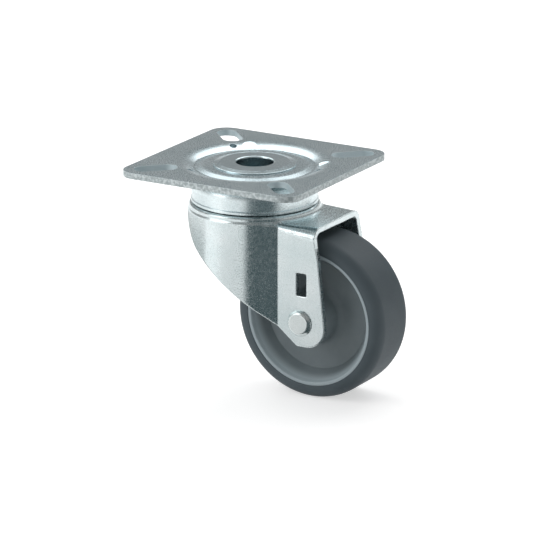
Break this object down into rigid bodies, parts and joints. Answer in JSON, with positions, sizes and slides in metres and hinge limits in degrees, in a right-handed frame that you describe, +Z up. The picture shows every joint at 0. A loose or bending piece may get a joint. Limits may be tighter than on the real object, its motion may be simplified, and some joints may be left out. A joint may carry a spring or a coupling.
{
  "type": "swivel castor",
  "caption": "Swivel castor with a square slotted top plate, a ball-bearing swivel head, a pressed steel fork and a soft-tyred plastic wheel on a riveted axle.",
  "frame": {"origin": "centre of the top plate's upper face, on the swivel axis", "axes": "+Z up along the swivel axis, out of the plate; +X towards the trailing wheel; the axle lies along Y"},
  "size_m": [0.0783, 0.06, 0.068],
  "materials": {
    "plate": "bright zinc plate",
    "bearing_cup": "bright zinc plate",
    "bearing_steel": "greased bare steel",
    "rivet": "zinc plate, slightly dull",
    "fork": "bright zinc plate",
    "ball": "polished hardened steel",
    "core": "moulded polypropylene",
    "tyre": "soft moulded tread"
  },
  "bodies": {
    "head": {"top_plate": "plate", "upper_race_cup": "bearing_cup", "spacer_sleeve": "bearing_steel", "lower_race_cup": "bearing_steel", "king_rivet": "rivet"},
    "fork_body": {"fork": "fork", "axle_rivet": "rivet", "axle_sleeve": "bearing_steel"},
    "wheel": {"wheel_core": "core", "tyre": "tyre"},
    "upper_balls": {"upper_ball_1": "ball", "upper_ball_2": "ball", "upper_ball_3": "ball", "upper_ball_4": "ball", "upper_ball_5": "ball", "upper_ball_6": "ball", "upper_ball_7": "ball", "upper_ball_8": "ball", "upper_ball_9": "ball", "upper_ball_10": "ball", "upper_ball_11": "ball"},
    "lower_balls": {"lower_ball_1": "ball", "lower_ball_2": "ball", "lower_ball_3": "ball", "lower_ball_4": "ball", "lower_ball_5": "ball", "lower_ball_6": "ball", "lower_ball_7": "ball", "lower_ball_8": "ball", "lower_ball_9": "ball", "lower_ball_10": "ball", "lower_ball_11": "ball", "lower_ball_12": "ball", "lower_ball_13": "ball", "lower_ball_14": "ball", "lower_ball_15": "ball"}
  },
  "joints": [
    {"name": "fork_swivel", "type": "hinge", "parent": "head", "child": "fork_body", "pos_m": [0, 0, 0], "axis": [0, 0, 1], "continuous": true},
    {"name": "wheel_spin", "type": "hinge", "parent": "fork_body", "child": "wheel", "pos_m": [0.0235, 0, -0.04325], "axis": [0, 1, 0], "continuous": true},
    {"name": "upper_ball_row", "type": "hinge", "parent": "head", "child": "upper_balls", "pos_m": [0, 0, 0], "axis": [0, 0, 1], "continuous": true},
    {"name": "lower_ball_row", "type": "hinge", "parent": "head", "child": "lower_balls", "pos_m": [0, 0, 0], "axis": [0, 0, 1], "continuous": true}
  ],
  "couplings": [
    {"joint": "upper_ball_row", "follows": "fork_swivel", "ratio": 0.5},
    {"joint": "lower_ball_row", "follows": "fork_swivel", "ratio": 0.5}
  ]
}
